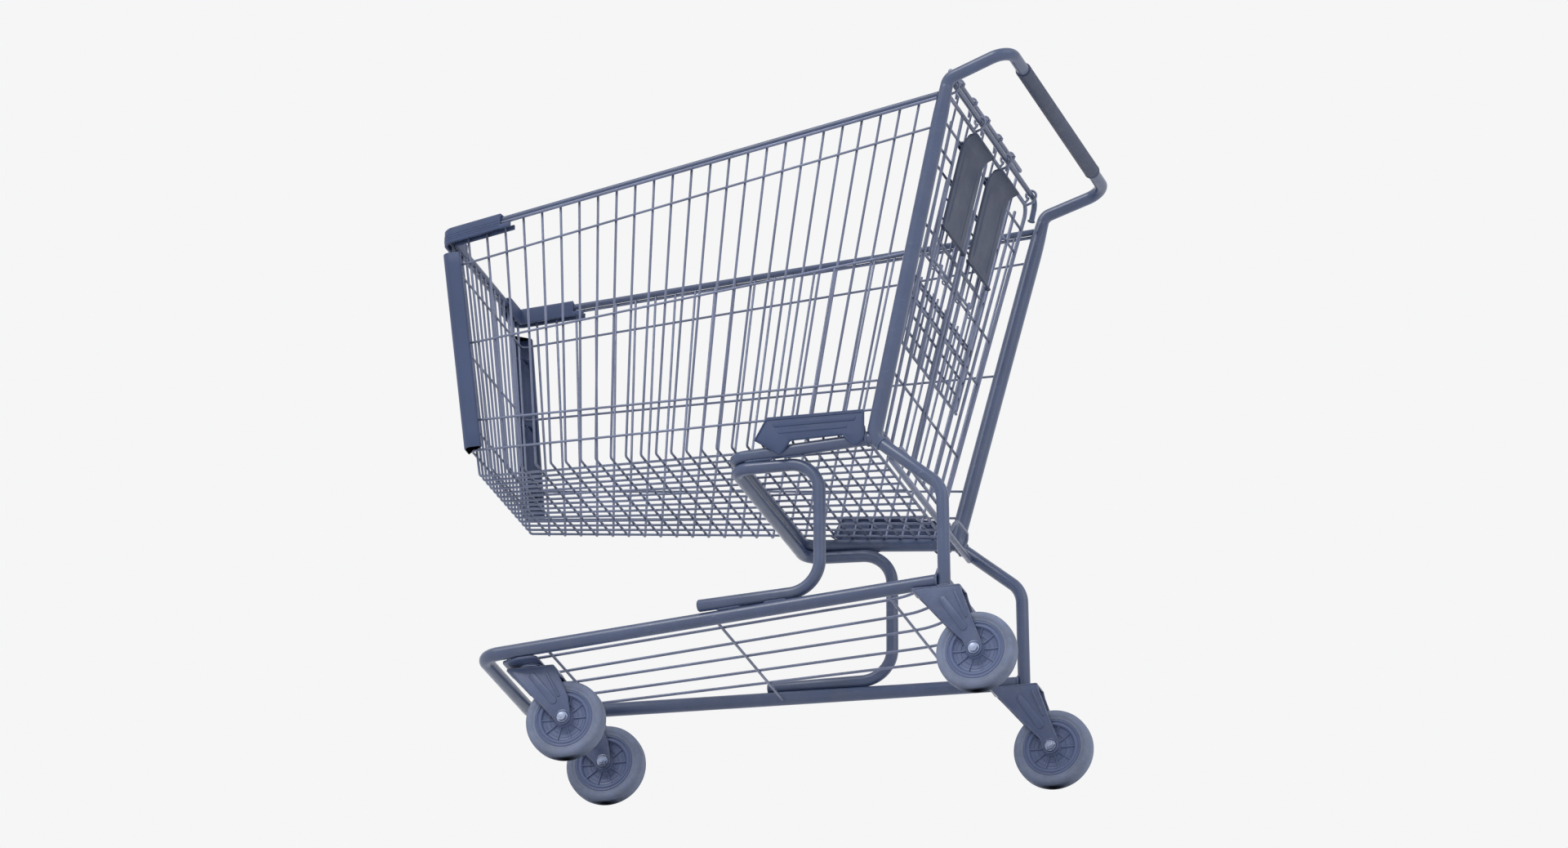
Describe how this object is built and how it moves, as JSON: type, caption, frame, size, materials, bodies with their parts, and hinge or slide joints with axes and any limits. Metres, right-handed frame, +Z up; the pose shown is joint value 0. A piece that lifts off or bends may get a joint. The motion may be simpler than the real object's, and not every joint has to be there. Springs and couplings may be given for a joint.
{
  "type": "rolling basket trolley",
  "caption": "Wire basket trolley on a welded tube chassis with lower tray, folding child seat, swinging rear gate, swivel front casters and fixed rear casters.",
  "frame": {"origin": "on the floor under the middle of the overall box", "axes": "+Z up, -Y towards the nose, +Y towards the push handle, X across and the plane of symmetry at X = 0"},
  "size_m": [0.6188, 0.9786, 1.0541],
  "materials": {
    "tube_coat": "satin powder coat over steel tube",
    "wire_coat": "glossy clear coat over plated wire",
    "grip": "fine grained moulded sleeve",
    "plastic": "moulded polypropylene, light grain",
    "caster_coat": "painted pressed steel",
    "zinc": "bright zinc plate",
    "tread": "grey-blue elastic tread",
    "hub": "moulded nylon"
  },
  "bodies": {
    "frame": {"upright_tube_left": "tube_coat", "upright_tube_right": "tube_coat", "rear_leg_left": "tube_coat", "rear_leg_right": "tube_coat", "handle_tube": "tube_coat", "base_frame_tube": "tube_coat", "tray_support_tube": "tube_coat", "tray_rail_tube": "tube_coat", "handle_grip": "grip", "lower_cross_rod": "wire_coat", "tray_wire_deck": "wire_coat", "basket_rim_rod": "wire_coat", "basket_side_left": "wire_coat", "basket_side_right": "wire_coat", "basket_front": "wire_coat", "basket_floor": "wire_coat", "gate_hinge_rod": "wire_coat", "corner_bumper_left": "plastic", "corner_bumper_right": "plastic", "corner_strip_left": "plastic", "corner_strip_right": "plastic", "side_guard_left": "plastic", "side_guard_right": "plastic", "caster_fork_rear_left": "caster_coat", "caster_fork_rear_right": "caster_coat", "caster_pad_left": "caster_coat", "caster_pad_right": "caster_coat", "swivel_race_left": "zinc", "swivel_race_right": "zinc", "king_bolt_left": "zinc", "king_bolt_right": "zinc", "axle_sleeve_rear_left": "zinc", "axle_bolt_rear_left": "zinc", "axle_nut_rear_left": "zinc", "axle_sleeve_rear_right": "zinc", "axle_bolt_rear_right": "zinc", "axle_nut_rear_right": "zinc"},
    "gate": {"rear_gate": "wire_coat"},
    "child_seat_base": {"seat_base": "wire_coat"},
    "child_seat_back": {"seat_back": "wire_coat"},
    "flap_left": {"leg_flap_left": "plastic"},
    "flap_right": {"leg_flap_right": "plastic"},
    "swivel_left": {"caster_fork_front_left": "caster_coat", "axle_bolt_front_left": "zinc", "axle_nut_front_left": "zinc", "axle_sleeve_front_left": "zinc"},
    "swivel_right": {"caster_fork_front_right": "caster_coat", "axle_bolt_front_right": "zinc", "axle_nut_front_right": "zinc", "axle_sleeve_front_right": "zinc"},
    "wheel_front_left": {"tyre_front_left": "tread", "wheel_hub_front_left": "hub"},
    "wheel_front_right": {"tyre_front_right": "tread", "wheel_hub_front_right": "hub"},
    "wheel_rear_left": {"tyre_rear_left": "tread", "wheel_hub_rear_left": "hub"},
    "wheel_rear_right": {"tyre_rear_right": "tread", "wheel_hub_rear_right": "hub"}
  },
  "joints": [
    {"name": "gate_swing", "type": "hinge", "parent": "frame", "child": "gate", "pos_m": [0, 0.36975, 1.016], "axis": [-1, 0, 0], "range_deg": [0, 75]},
    {"name": "seat_base_fold", "type": "hinge", "parent": "gate", "child": "child_seat_base", "pos_m": [0, 0.30228, 0.765], "axis": [1, 0, 0], "range_deg": [0, 100]},
    {"name": "seat_back_fold", "type": "hinge", "parent": "child_seat_base", "child": "child_seat_back", "pos_m": [0, 0.32915, 0.91282], "axis": [1, 0, 0], "range_deg": [-100, 0]},
    {"name": "leg_flap_swing_left", "type": "hinge", "parent": "gate", "child": "flap_left", "pos_m": [0.076, 0.34974, 0.962], "axis": [1, 0, 0], "range_deg": [0, 60]},
    {"name": "leg_flap_swing_right", "type": "hinge", "parent": "gate", "child": "flap_right", "pos_m": [-0.076, 0.34974, 0.962], "axis": [1, 0, 0], "range_deg": [0, 60]},
    {"name": "caster_swivel_left", "type": "hinge", "parent": "frame", "child": "swivel_left", "pos_m": [0.1085, -0.35725, 0.155], "axis": [0, 0, 1], "continuous": true},
    {"name": "wheel_spin_front_left", "type": "hinge", "parent": "swivel_left", "child": "wheel_front_left", "pos_m": [0.1085, -0.30105, 0.0635], "axis": [1, 0, 0], "continuous": true},
    {"name": "wheel_spin_rear_left", "type": "hinge", "parent": "frame", "child": "wheel_rear_left", "pos_m": [0.2325, 0.39975, 0.0635], "axis": [1, 0, 0], "continuous": true},
    {"name": "caster_swivel_right", "type": "hinge", "parent": "frame", "child": "swivel_right", "pos_m": [-0.1085, -0.35725, 0.155], "axis": [0, 0, 1], "continuous": true},
    {"name": "wheel_spin_front_right", "type": "hinge", "parent": "swivel_right", "child": "wheel_front_right", "pos_m": [-0.1085, -0.30105, 0.0635], "axis": [1, 0, 0], "continuous": true},
    {"name": "wheel_spin_rear_right", "type": "hinge", "parent": "frame", "child": "wheel_rear_right", "pos_m": [-0.2325, 0.39975, 0.0635], "axis": [1, 0, 0], "continuous": true}
  ],
  "couplings": [
    {"joint": "seat_back_fold", "follows": "seat_base_fold", "ratio": -1}
  ]
}
